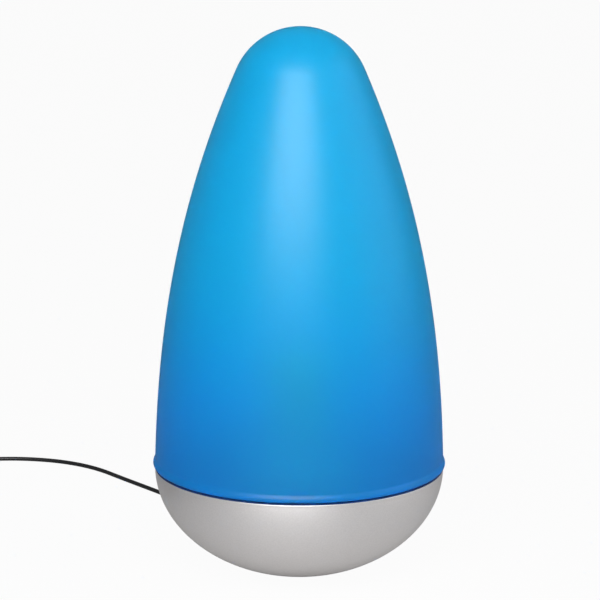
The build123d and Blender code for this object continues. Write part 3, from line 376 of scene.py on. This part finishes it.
black_rubber = surface("moulded_black_rubber", "#202123", "#151517", 0.72, 0.8, 0.05)
ring_outer, ring_inner, ring_top, ring_round = 26.5, 20.5, 1.4, 0.5
foot_profile = [(ring_inner, ring_top)]
foot_profile += arc((ring_inner + ring_round, ring_round), (ring_round, ring_round), 180, 270, 4)
foot_profile += arc((ring_outer - ring_round, ring_round), (ring_round, ring_round), 270, 360, 4)
foot_profile += [(ring_outer, ring_top), (ring_inner, ring_top)]
foot = turned("foot_ring_piece", foot_profile, 96, black_rubber)
kept(foot, "foot_ring")

# Base plate: a round moulded plate in black ABS that closes the hole under the bowl. Three zinc plated
# screws in deep pockets pull it, the bowl and the tray together.
drilling, given = tree_with("drilling", [("Places", "Geometry"), ("Material", "Material")])
drill_way = add(drilling, "GeometryNodeInputNamedAttribute", {"Name": "way"}, data_type="FLOAT_VECTOR")
drill_bore = add(drilling, "GeometryNodeInputNamedAttribute", {"Name": "bore"}, data_type="FLOAT")
drill_reach = add(drilling, "GeometryNodeInputNamedAttribute", {"Name": "reach"}, data_type="FLOAT")
drill_rod = add(drilling, "GeometryNodeMeshCylinder", {"Vertices": 40, "Radius": 1.0, "Depth": 1.0})
drill_turn = add(
    drilling, "FunctionNodeAlignRotationToVector", links={"Vector": drill_way.outputs[0]}, axis="Z"
)
drill_size = add(
    drilling, "ShaderNodeCombineXYZ",
    links={0: drill_bore.outputs[0], 1: drill_bore.outputs[0], 2: drill_reach.outputs[0]},
)
drill_rods = add(
    drilling, "GeometryNodeInstanceOnPoints",
    links={
        "Points": given["Places"], "Instance": drill_rod.outputs["Mesh"],
        "Rotation": drill_turn.outputs[0], "Scale": drill_size.outputs[0],
    },
)
close_tree(drilling, given, drill_rods.outputs[0])


def points(name, places, **facts):
    """Loose points in millimetres that carry facts for a node tree, such as a way, a bore or a reach."""
    cloud = bpy.data.meshes.new(name)
    cloud.from_pydata([[value * MM for value in place] for place in places], [], [])
    for fact, values in facts.items():
        kind, key = ("FLOAT_VECTOR", "vector") if fact == "way" else ("FLOAT", "value")
        stored = cloud.attributes.new(fact, kind, "POINT")
        for spot, value in zip(stored.data, values):
            setattr(spot, key, value if fact == "way" else value * MM)
    return cloud


def drilled(piece, places, ways, bores, reaches):
    """Cut round holes through a piece, each centred on its place."""
    cloud = points("holes", places, way=ways, bore=bores, reach=reaches)
    rods = grown("drill_rods", cloud, drilling, {"Material": piece.data.materials[0]})
    smooth(rods.data)
    cut = piece.modifiers.new("cut", "BOOLEAN")
    cut.object = rods
    cut.solver = "EXACT"
    made = bpy.data.meshes.new_from_object(piece.evaluated_get(bpy.context.evaluated_depsgraph_get()))
    piece.modifiers.remove(cut)
    piece.data = made
    bpy.data.objects.remove(rods)
    smooth(piece.data)


screwing, given = tree_with("pan_head_screws", [
    ("Places", "Geometry"), ("Head radius", "Float"), ("Head height", "Float"), ("Shank radius", "Float"),
    ("Length", "Float"), ("Material", "Material"),
])
head_disc = add(
    screwing, "GeometryNodeMeshCylinder", {"Vertices": 32},
    {"Radius": given["Head radius"], "Depth": given["Head height"]},
)
half_head = add(screwing, "ShaderNodeMath", {1: 0.5}, {0: given["Head height"]}, operation="MULTIPLY")
head_place = add(screwing, "ShaderNodeCombineXYZ", links={2: half_head.outputs[0]})
head_on_top = add(
    screwing, "GeometryNodeTransform",
    links={0: head_disc.outputs["Mesh"], "Translation": head_place.outputs[0]},
)
shank_rod = add(
    screwing, "GeometryNodeMeshCylinder", {"Vertices": 24},
    {"Radius": given["Shank radius"], "Depth": given["Length"]},
)
half_shank = add(screwing, "ShaderNodeMath", {1: -0.5}, {0: given["Length"]}, operation="MULTIPLY")
shank_place = add(screwing, "ShaderNodeCombineXYZ", links={2: half_shank.outputs[0]})
shank_below = add(
    screwing, "GeometryNodeTransform",
    links={0: shank_rod.outputs["Mesh"], "Translation": shank_place.outputs[0]},
)
slot_long_share, slot_wide_share = 1.15, 0.3
slot_long, slot_wide = (
    add(screwing, "ShaderNodeMath", {1: share}, {0: given["Head radius"]}, operation="MULTIPLY").outputs[0]
    for share in (slot_long_share, slot_wide_share)
)
full_head = add(screwing, "ShaderNodeCombineXYZ", links={2: given["Head height"]})
recess = add(
    screwing, "GeometryNodeMeshBoolean", links={"Mesh 1": head_on_top.outputs[0]}, operation="DIFFERENCE"
)
for along, aside in ((slot_long, slot_wide), (slot_wide, slot_long)):
    slot_size = add(screwing, "ShaderNodeCombineXYZ", links={0: along, 1: aside, 2: given["Head height"]})
    slot_bar = add(screwing, "GeometryNodeMeshCube", links={"Size": slot_size.outputs[0]})
    raised_bar = add(
        screwing, "GeometryNodeTransform",
        links={0: slot_bar.outputs["Mesh"], "Translation": full_head.outputs[0]},
    )
    screwing.links.new(raised_bar.outputs[0], recess.inputs["Mesh 2"])
one_screw = add(screwing, "GeometryNodeJoinGeometry", links={0: recess.outputs[0]})
screwing.links.new(shank_below.outputs[0], one_screw.inputs[0])
screw_way = add(screwing, "GeometryNodeInputNamedAttribute", {"Name": "way"}, data_type="FLOAT_VECTOR")
screw_turn = add(
    screwing, "FunctionNodeAlignRotationToVector", links={"Vector": screw_way.outputs[0]}, axis="Z"
)
all_screws = add(
    screwing, "GeometryNodeInstanceOnPoints",
    links={"Points": given["Places"], "Instance": one_screw.outputs[0], "Rotation": screw_turn.outputs[0]},
)
close_tree(screwing, given, all_screws.outputs[0])
zinc_steel = surface("zinc_plated_steel", "#C9C9CB", "#B4B5B8", 0.3, 0.7, 0.01, cloud=3.0, Metallic=1.0)
screw_sizes = {"large": (2.8, 1.8, 1.5), "small": (1.9, 1.3, 1.0)}
screw_edge = 0.12


def screws(node, size, length, places, way):
    """A set of like pan head screws: each place is where a head seats, and way is where the head points."""
    head_radius, head_height, shank = screw_sizes[size]
    cloud = points(node, places, way=[way] * len(places))
    piece = grown(node + "_piece", cloud, screwing, {
        "Head radius": head_radius * MM, "Head height": head_height * MM, "Shank radius": shank * MM,
        "Length": length * MM, "Material": zinc_steel,
    })
    smooth(piece.data)
    rounded = piece.modifiers.new("rounded", "BEVEL")
    rounded.width = screw_edge * MM
    rounded.segments = 2
    rounded.limit_method = "ANGLE"
    kept(piece, node)
    return piece


def ring_of(radius, azimuths, height, middle=(0.0, 0.0)):
    """Places on a ring at a height, in millimetres."""
    turns = [math.radians(azimuth) for azimuth in azimuths]
    return [(middle[0] + radius * math.cos(t), middle[1] + radius * math.sin(t), height) for t in turns]


down, up = (0.0, 0.0, -1.0), (0.0, 0.0, 1.0)
black_abs = surface("spark_grained_black_abs", "#232427", "#1A1B1D", 0.5, 0.7, 0.05)
bowl_under, bowl_hole = 2.2, 23.0
plate_under, plate_top, plate_radius, plate_round = 0.8, 4.0, 27.5, 0.3
groove_play, plug_play, inner_break, outer_break = 0.1, 0.1, 0.2, 0.1
groove_inner, groove_outer = ring_inner - groove_play, ring_outer + groove_play
plate_edge = plate_radius - plate_round
plate_profile = [(0.0, plate_under), (groove_inner - inner_break, plate_under)]
plate_profile += [(groove_inner, plate_under + inner_break), (groove_inner, ring_top)]
plate_profile += [(groove_outer, ring_top), (groove_outer, plate_under + outer_break)]
plate_profile.append((groove_outer + outer_break, plate_under))
plate_profile += arc((plate_edge, plate_under + plate_round), (plate_round, plate_round), 270, 360, 3)
plate_profile += arc((plate_edge, bowl_under - plate_round), (plate_round, plate_round), 0, 90, 3)
plate_profile += [(bowl_hole - plug_play, bowl_under), (bowl_hole - plug_play, plate_top), (0.0, plate_top)]
plate = turned("base_plate_piece", plate_profile, 120, black_abs)
base_screw_ring, base_screw_azimuths, base_screw_seat = 15.0, (90, 210, 330), 2.7
pocket_radius, pocket_depth, clear_radius, clear_depth = 2.9, 2.0, 1.6, 6.0
base_screw_places = ring_of(base_screw_ring, base_screw_azimuths, base_screw_seat)
pocket_places = ring_of(base_screw_ring, base_screw_azimuths, base_screw_seat - pocket_depth / 2)
drilled(
    plate,
    pocket_places + base_screw_places, [up] * 6,
    [pocket_radius] * 3 + [clear_radius] * 3, [pocket_depth] * 3 + [clear_depth] * 3,
)
kept(plate, "base_plate")
screws("base_screws", "large", 7.0, base_screw_places, down)

# Base bowl: spun from 1.6 mm aluminium sheet, its rim rolled in to a flat lip, and finished to a satin that
# runs round it as the spinning left it. The lip and the top of the rolled edge are painted navy, as painted
# shade for the gap under the dome's rim, which also dulls the edge's highlight. Air enters by rows of small
# holes drilled in the rear, above the table.
bowl_rim, bowl_radius, bowl_depth = 68.5, 95.0, 71.6
bowl_wall, bowl_edge, lip_inner, lip_break = 1.6, 1.1, 86.0, 0.3
bowl_floor = bowl_under + bowl_wall
outer_start = math.degrees(math.asin((bowl_rim - bowl_under) / bowl_depth))
inner_start = math.degrees(math.asin((bowl_rim - bowl_floor) / (bowl_depth - bowl_wall)))
outer_end, inner_end = 0.9, 1.4
rim_middle = (0.0, bowl_rim)
edge_middle = (bowl_radius - bowl_edge, bowl_rim - bowl_edge)
bowl_profile = [(bowl_hole, bowl_under)]
bowl_profile += arc(rim_middle, (bowl_radius, bowl_depth), -outer_start, -outer_end, 60)
bowl_profile += arc(edge_middle, (bowl_edge, bowl_edge), 0, 90, 6)
bowl_profile += [(lip_inner + lip_break, bowl_rim), (lip_inner, bowl_rim - lip_break)]
bowl_profile += [(lip_inner, bowl_rim - bowl_wall)]
bowl_profile += arc(
    rim_middle, (bowl_radius - bowl_wall, bowl_depth - bowl_wall), -inner_end, -inner_start, 40
)
bowl_profile += [(bowl_hole, bowl_floor), (bowl_hole, bowl_under)]
satin_aluminium = surface(
    "satin_spun_aluminium", "#F6F3F2", "#E6E3E2", 0.5, 0.8, 0.035, cloud=0.9,
    Metallic=1.0, Anisotropic=0.5, Anisotropic_Rotation=0.25,
)
bowl = turned("base_bowl_piece", bowl_profile, 200, satin_aluminium)


def bowl_face(azimuth, height):
    """A place on the bowl's outside and the way out of the wall there."""
    reach = bowl_radius * math.sqrt(1 - ((bowl_rim - height) / bowl_depth) ** 2)
    turn = math.radians(azimuth)
    level_way = Vector((math.cos(turn), math.sin(turn), 0.0)) * reach
    rise = Vector((0.0, 0.0, height - bowl_rim))
    out = level_way / bowl_radius ** 2 + rise / bowl_depth ** 2
    return level_way + Vector((0.0, 0.0, height)), out.normalized()


vent_heights, vent_azimuths, vent_radius = (17, 23, 29), range(66, 103, 6), 1.75
lead_azimuth, lead_height, lead_hole_radius = 121, 25, 4.1
hole_reach = 9.0
vent_faces = [bowl_face(azimuth, height) for height in vent_heights for azimuth in vent_azimuths]
lead_place, lead_way = bowl_face(lead_azimuth, lead_height)
hole_faces = vent_faces + [(lead_place, lead_way)]
drilled(
    bowl,
    [place for place, _ in hole_faces], [way for _, way in hole_faces],
    [vent_radius] * len(vent_faces) + [lead_hole_radius], [hole_reach] * len(hole_faces),
)
# Navy painted shade for the gap under the dome's rim, on the lip and the upward faces of the rolled edge.
slot_painted_shade = surface("navy_painted_slot_shade", "#12305E", "#0D2750", 0.7, 0.8, 0.02)
shade_least_rise = 0.55
bowl.data.materials.append(slot_painted_shade)
for face in bowl.data.polygons:
    if face.normal.z > shade_least_rise and face.center.z > (bowl_rim - bowl_edge) * MM:
        face.material_index = 1
kept(bowl, "base_bowl")


# Ballast, tray and driver electronics: a cast iron ring on the bowl's floor, a moulded tray screwed over
# it, and a glass fibre board with the parts that drive the piezo disc and the fan.
def dress(material, *nodes):
    """Give CAD pieces whose shape is right their real finish."""
    for node in nodes:
        for place in frame["nodes"][node].material_slots:
            place.material = material


dress(surface("cast_iron", "#3A3A3C", "#2B2B2D", 0.62, 1.6, 0.12, cloud=8.0, Metallic=0.9), "ballast_ring")
dress(black_abs, "electronics_tray", "fan_frame", "fan_rotor", "fan_duct")
dress(
    surface("solder_masked_glass_fibre", "#1F6B3A", "#175530", 0.34, 0.6, 0.02, cloud=4.0),
    "driver_board", "adapter_board",
)
dress(
    surface("extruded_aluminium", "#C4C6C8", "#B2B4B7", 0.36, 0.5, 0.02, cloud=5.0, Metallic=1.0),
    "heat_sink",
)
dress(
    surface("sintered_ferrite", "#2C2C2E", "#1F1F21", 0.58, 0.5, 0.03, cloud=3.0),
    "choke_coil", "float_magnet", "adapter_transformer",
)
dress(surface("shrunk_sleeve_film", "#23305E", "#1B2650", 0.22, 2.0, 0.01), "capacitors")
white_plastic = surface("moulded_white_polypropylene", "#EDEDE8", "#E2E2DC", 0.42, 0.9, 0.03)
dress(white_plastic, "lead_connector")
dress(cord_sheath, "inner_lead")
dress(surface("red_wire_pvc", "#B4231D", "#9A1C17", 0.4, 0.8, 0.02), "transducer_lead")
tray_screw_ring, tray_screw_azimuths, tray_screw_seat = 47.0, (0, 180, 270), 11.8
board_middle, board_half_pitch, board_screw_seat = 31.75, (6.25, 26.5), 19.4
fan_middle, fan_half_pitch, fan_screw_seat = 22.0, 16.0, 17.0
four_corners = [(x, y) for x in (-1, 1) for y in (-1, 1)]
board_screw_places = [
    (board_middle + x * board_half_pitch[0], y * board_half_pitch[1], board_screw_seat)
    for x, y in four_corners
]
fan_screw_places = [
    (x * fan_half_pitch, fan_middle + y * fan_half_pitch, fan_screw_seat) for x, y in four_corners
]
screws("tray_screws", "large", 10.0, ring_of(tray_screw_ring, tray_screw_azimuths, tray_screw_seat), down)
screws("board_screws", "small", 5.0, board_screw_places, up)
screws("fan_screws", "large", 15.0, fan_screw_places, down)

# Water basin: moulded in blue-grey polypropylene, hung by its flange on the bowl's lip. Its six tabs carry
# the dome, and their outer ends are painted with the same navy painted shade as the gap they stand in. The
# piezo disc is clamped under its floor between silicone lips by a steel ring.
blue_grey_plastic = surface("moulded_blue_grey_polypropylene", "#46648F", "#3D5B86", 0.46, 0.9, 0.04)
dress(blue_grey_plastic, "water_basin", "air_hood", "float_clip")
tab_painted_shade_start = 91.0
# The outer ends of the tabs take the navy painted shade of the shaded gap under the dome's rim.
basin = frame["nodes"]["water_basin"]
basin.data.materials.append(slot_painted_shade)
for face in basin.data.polygons:
    if face.center.xy.length > tab_painted_shade_start * MM and face.center.z > bowl_rim * MM:
        face.material_index = len(basin.data.materials) - 1
dress(surface("fired_silver_ceramic", "#D8D5CE", "#CBC7BF", 0.34, 0.4, 0.02, cloud=4.0), "piezo_disc")
dress(surface("moulded_silicone", "#A9ABAE", "#9A9C9F", 0.6, 0.8, 0.03), "transducer_gasket")
dress(zinc_steel, "transducer_retainer")
dress(
    surface("drawn_glass", "#DDEFE6", "#D2E8DD", 0.06, 4.0, 0.0, Transmission_Weight=0.9, IOR=1.5),
    "reed_switch",
)
disc_middle, retainer_screw_ring, retainer_screw_seat = (0.0, -19.0), 14.75, 27.0
retainer_screw_places = ring_of(retainer_screw_ring, (30, 150, 270), retainer_screw_seat, disc_middle)
screws("retainer_screws", "small", 6.0, retainer_screw_places, down)

# Level float: a blown ring of white polypropylene that rides up and down its post as the water does,
# with a ring magnet pressed into its foot.
float_bore, float_radius, float_round, float_break = 3.35, 9.0, 1.2, 0.5
float_low, float_high, magnet_top, magnet_bore = 37.0, 46.0, 40.0, 5.35
float_post = Vector((48.0, -21.0, 0.0))
float_rounds = (float_round, float_round)
float_edge = float_radius - float_round
float_profile = [(magnet_bore, float_low)]
float_profile += arc((float_edge, float_low + float_round), float_rounds, 270, 360, 5)
float_profile += arc((float_edge, float_high - float_round), float_rounds, 0, 90, 5)
float_profile += [(float_bore + float_break, float_high), (float_bore, float_high - float_break)]
float_profile += [(float_bore, magnet_top), (magnet_bore, magnet_top), (magnet_bore, float_low)]
level_float = turned("level_float_piece", float_profile, 64, white_plastic)
level_float.data.transform(Matrix.Translation(float_post * MM))
kept(level_float, "level_float")

# Mist chimney and splash cap: moulded in warm cream ABS. The bell stands over the piezo disc and the air
# pipe, and the cap on its legs turns the mist outwards, so that no drops reach the dome's top.
cream_abs = surface("moulded_cream_abs", "#DCCB8C", "#D4C280", 0.45, 0.9, 0.03)
dress(cream_abs, "mist_chimney", "splash_cap")

# Mist dome: one closed cover, injection moulded in blue acrylic 3 mm thick, frosted by a fine blast of the
# mould. Its colour is painted darker towards the rim and lighter towards the top, as painted shade for
# light that falls from above. A rounded bead with a small drip edge stiffens the rim, which stands loose on
# the basin's tabs.
dome_top, dome_seat, dome_wall = 357.0, 70.0, 3.0
dome_rim, nose_radius, nose_sweep = 95.0, 44.8, 66.3
shoulder_pull, skirt_pull, skirt_draft = 0.40, 0.286, 1.5
bead_middle, bead_radii, bead_top, bead_sweep = (94.5, 71.2), (1.7, 1.7), 75.2, 70
drip_low, drip_inner, drip_round, drip_rise, drip_break = 69.5, 93.7, 0.4, 0.15, 0.1
rim_round = 0.8
line_steps, blend_steps = 28, 8
dome_crease = 40.0


def dome_line(inset, steps):
    """The dome's outline from its top to its rim, drawn in by the wall."""
    sweep, draft = math.radians(nose_sweep), math.radians(skirt_draft)
    radius = nose_radius - inset
    middle = dome_top - nose_radius
    line = arc((0.0, middle), (radius, radius), 90, 90 - nose_sweep, steps)
    start, end = Vector(line[-1]), Vector((dome_rim - inset, dome_seat))
    chord = (end - start).length
    shoulder = start + Vector((math.cos(sweep), -math.sin(sweep))) * shoulder_pull * chord
    skirt = end - Vector((math.sin(draft), -math.cos(draft))) * skirt_pull * chord
    for step in range(1, 2 * steps + 1):
        t = step / (2 * steps)
        upper = start * (1 - t) ** 3 + shoulder * 3 * t * (1 - t) ** 2
        lower = skirt * 3 * t ** 2 * (1 - t) + end * t ** 3
        line.append(tuple(upper + lower))
    return line


# Painted shade: the dome's colour darkens from 222 mm down to 50 mm, standing in for light from above.
frosted_acrylic = surface(
    "frosted_blue_acrylic", "#00C4E7", "#00ACEC", 0.75, 1.1, 0.03, painted_shade_heights=(50.0, 222.0),
    IOR=1.2, Transmission_Weight=0.75, Specular_IOR_Level=0.0,
    Coat_Weight=0.4, Coat_IOR=1.6, Coat_Roughness=0.4,
)
bead_face = bead_middle[0] + bead_radii[0]
dome_outside = dome_line(0.0, line_steps)
dome_inside = dome_line(dome_wall, line_steps)
dome_profile = [place for place in dome_outside if place[1] > bead_top]
wall_above, wall_below = dome_outside[len(dome_profile) - 1], dome_outside[len(dome_profile)]
drop_share = (wall_above[1] - bead_top) / (wall_above[1] - wall_below[1])
blend_start = (wall_above[0] + (wall_below[0] - wall_above[0]) * drop_share, bead_top)
dome_profile.append(blend_start)
for step in range(1, blend_steps + 1):
    share = step / blend_steps
    swell = math.sin(math.pi / 2 * share) ** 2
    dome_profile.append((
        blend_start[0] + (bead_face - blend_start[0]) * swell,
        blend_start[1] + (bead_middle[1] - blend_start[1]) * share,
    ))
dome_profile += arc(bead_middle, bead_radii, 0, -bead_sweep, 8)[1:]
dome_profile += [(dome_rim - drip_round, drip_low), (drip_inner + drip_round, drip_low)]
dome_profile += [(drip_inner + drip_break, drip_low + drip_rise), (drip_inner, dome_seat - drip_break)]
dome_profile.append((drip_inner - drip_break, dome_seat))
dome_profile += arc(
    (dome_rim - dome_wall + rim_round, dome_seat + rim_round), (rim_round, rim_round), 270, 180, 4
)
dome_profile += [place for place in reversed(dome_inside) if place[1] > dome_seat + 2 * rim_round]
dome = turned("mist_dome_piece", dome_profile, 160, frosted_acrylic, dome_crease)
kept(dome, "mist_dome")

# Strain relief: a ribbed bush of black rubber, snapped into the bowl's rear wall from outside. Its
# tapered sleeve bends with the lead, so that the lead never kinks at the hole.
lead_bore, neck_radius = 1.6, 4.0
barb_radius, barb_start, barb_end = 5.0, -3.6, -2.0
collar_radius, collar_start, collar_break, collar_round = 6.5, 0.4, 0.2, 0.6
sleeve_start, sleeve_end, sleeve_root, sleeve_tip = 2.2, 16.2, 4.0, 2.5
tip_break, tip_swell = 0.4, 0.05
rib_pitch, rib_count = 2.2, 5
groove_width, groove_depth, groove_slope = 1.0, 0.6, 0.15
groove_start = rib_pitch - groove_width
groove_steps = (
    (groove_start, 0.0),
    (groove_start + groove_slope, groove_depth),
    (rib_pitch - groove_slope, groove_depth),
    (rib_pitch, 0.0),
)
relief_profile = [(lead_bore, barb_start), (barb_radius, barb_start), (barb_radius, barb_end)]
relief_profile += [(neck_radius, barb_end), (neck_radius, collar_start)]
relief_profile.append((collar_radius - collar_break, collar_start))
relief_profile.append((collar_radius, collar_start + collar_break))
relief_profile += arc(
    (collar_radius - collar_round, sleeve_start - collar_round), (collar_round, collar_round), 0, 90, 4
)
relief_profile.append((sleeve_root, sleeve_start))
for rib in range(rib_count):
    for along, drop in groove_steps:
        at = sleeve_start + rib * rib_pitch + along
        slope = sleeve_root + (sleeve_tip - sleeve_root) * (at - sleeve_start) / (sleeve_end - sleeve_start)
        relief_profile.append((slope - drop, at))
relief_profile += [(sleeve_tip + tip_swell, sleeve_end - tip_break), (sleeve_tip - tip_break, sleeve_end)]
relief_profile += [(lead_bore, sleeve_end), (lead_bore, barb_start)]
relief = turned("strain_relief_piece", relief_profile, 48, black_rubber)
relief_turn = lead_way.to_track_quat("Z", "Y").to_matrix().to_4x4()
relief.data.transform(Matrix.Translation(lead_place * MM) @ relief_turn)
kept(relief, "strain_relief")

# In-line switch: two half shells of black ABS closed round the lead by two screws from below, with a
# rocker that tips on moulded pins between two lugs.
dress(black_abs, "switch_base", "switch_cover")
rocker_abs = surface("polished_black_abs", "#2C2D31", "#242529", 0.28, 0.8, 0.01)
dress(rocker_abs, "switch_rocker")
switch_middle, switch_screw_offset, switch_screw_seat = (-258.0, 183.0), (6.0, 20.0), 1.4
switch_screw_places = [
    (
        switch_middle[0] + side * switch_screw_offset[0], switch_middle[1] + side * switch_screw_offset[1],
        switch_screw_seat,
    )
    for side in (-1, 1)
]
switch_screws = screws("switch_screws", "small", 8.5, switch_screw_places, down)

# Cord tie: a band of woven black nylon round the coil's turns, closed on itself by hooks and loops. It
# holds the spare length of the lead together beside the switch.
dress(surface("woven_black_nylon", "#26272A", "#17181A", 0.85, 0.6, 0.2, cloud=1.2), "cord_tie")

# Wall adapter: two half shells of black ABS glued round the supply, two nickel plated round pins with
# moulded collars, and a rubber sleeve where the lead ends in it.
dress(black_abs, "adapter_base", "adapter_cover")
dress(black_rubber, "adapter_sleeve")
dress(
    surface("nickel_plated_brass", "#D8D5CC", "#C9C6BD", 0.2, 0.8, 0.005, cloud=4.0, Metallic=1.0),
    "adapter_pins",
)
